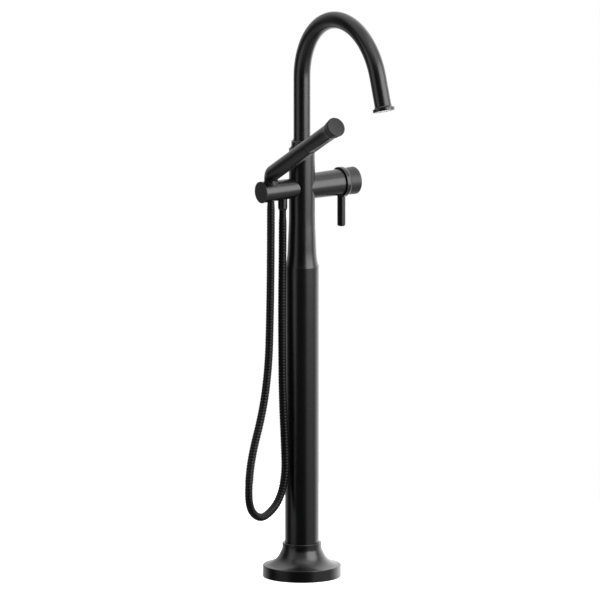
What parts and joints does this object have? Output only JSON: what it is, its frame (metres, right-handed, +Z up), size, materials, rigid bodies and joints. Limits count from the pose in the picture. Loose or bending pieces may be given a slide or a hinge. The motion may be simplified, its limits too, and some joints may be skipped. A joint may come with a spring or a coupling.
{
  "type": "floor standing bath filler",
  "caption": "Floor standing bath filler: round column on a flared cover, swivelling gooseneck spout, side valve with lever and knob, hand shower with ribbed hose.",
  "frame": {"origin": "centre of the floor cover and of the floor bolt circle, on the floor", "axes": "+Z up along the column, -Y towards the bath where the spout points, +X towards the valve and its controls"},
  "size_m": [0.2756, 0.3621, 1.0914],
  "materials": {
    "satin_black": "satin black powder coat",
    "black_hose": "satin black spiral metal",
    "steel": "brushed",
    "brass": "machined",
    "seal_rubber": "matte",
    "grey_plastic": "matte",
    "white_plastic": "matte",
    "ceramic": "polished",
    "nozzle_silicone": "matte"
  },
  "bodies": {
    "stand": {"floor_plate": "steel", "column_clamp_screws": "steel", "floor_cover": "satin_black", "cover_seal_ring": "seal_rubber", "column_tube": "satin_black", "hot_supply_pipe": "steel", "cold_supply_pipe": "steel", "hot_inlet_nut": "brass", "cold_inlet_nut": "brass", "inlet_washers": "seal_rubber", "pipe_spacers": "grey_plastic", "mixer_body": "satin_black", "body_seal_ring": "seal_rubber", "column_set_screw": "steel", "cartridge_body": "brass", "cartridge_seal_ring": "seal_rubber", "fixed_disc": "ceramic", "cartridge_head": "brass", "cartridge_retaining_nut": "brass", "lever_glide_ring": "grey_plastic", "spout_slip_ring": "grey_plastic", "spout_stop_screw": "steel", "cross_bar": "satin_black", "cross_bar_cap": "satin_black", "cradle_liner": "grey_plastic", "hose_check_valve": "white_plastic", "hose_nipple": "brass", "hose_outlet_nut": "satin_black", "shower_hose": "black_hose"},
    "spout": {"spout_bush": "brass", "spout_seal_rings": "seal_rubber", "spout_ferrule": "satin_black", "spout_tube": "satin_black", "outlet_ring": "satin_black", "aerator_seal": "seal_rubber", "aerator_insert": "white_plastic", "aerator_screen": "steel"},
    "flow_lever": {"lever_ring": "satin_black", "lever_pin": "satin_black", "lever_set_screw": "steel", "flow_sleeve": "brass", "diverter_disc": "ceramic"},
    "temperature_control": {"temperature_knob": "satin_black", "knob_set_screw": "steel", "temperature_spindle": "brass"},
    "mixing_spool_body": {"mixing_spool": "grey_plastic"},
    "hose_end": {"handset_hose_nut": "brass"},
    "handset": {"handset_body": "satin_black", "handset_hose_washer": "seal_rubber", "wand_inner_tube": "grey_plastic", "spray_panel": "satin_black", "spray_nozzles": "nozzle_silicone", "handset_head_ring": "satin_black", "handset_end_cap": "satin_black"}
  },
  "joints": [
    {"name": "spout_swivel", "type": "hinge", "parent": "stand", "child": "spout", "pos_m": [0, 0, 0.818], "axis": [0, 0, 1], "range_deg": [-60, 60]},
    {"name": "flow_lever_turn", "type": "hinge", "parent": "stand", "child": "flow_lever", "pos_m": [0.09, 0, 0.7385], "axis": [1, 0, 0], "range_deg": [-60, 60]},
    {"name": "temperature_turn", "type": "hinge", "parent": "stand", "child": "temperature_control", "pos_m": [0.107, 0, 0.7385], "axis": [1, 0, 0], "range_deg": [-120, 120]},
    {"name": "mixing_spool_travel", "type": "slide", "parent": "stand", "child": "mixing_spool_body", "axis": [1, 0, 0], "range_m": [-0.0022, 0.0022]},
    {"name": "handset_lift", "type": "slide", "parent": "stand", "child": "hose_end", "axis": [0, 0, 1], "range_m": [0, 0.06], "deforming": ["shower_hose"]},
    {"name": "handset_turn", "type": "hinge", "parent": "hose_end", "child": "handset", "pos_m": [-0.0706, 0, 0.74], "axis": [0, 0, 1], "range_deg": [-90, 45]}
  ],
  "couplings": [
    {"joint": "mixing_spool_travel", "follows": "temperature_turn", "m_per_rad": 0.001}
  ]
}
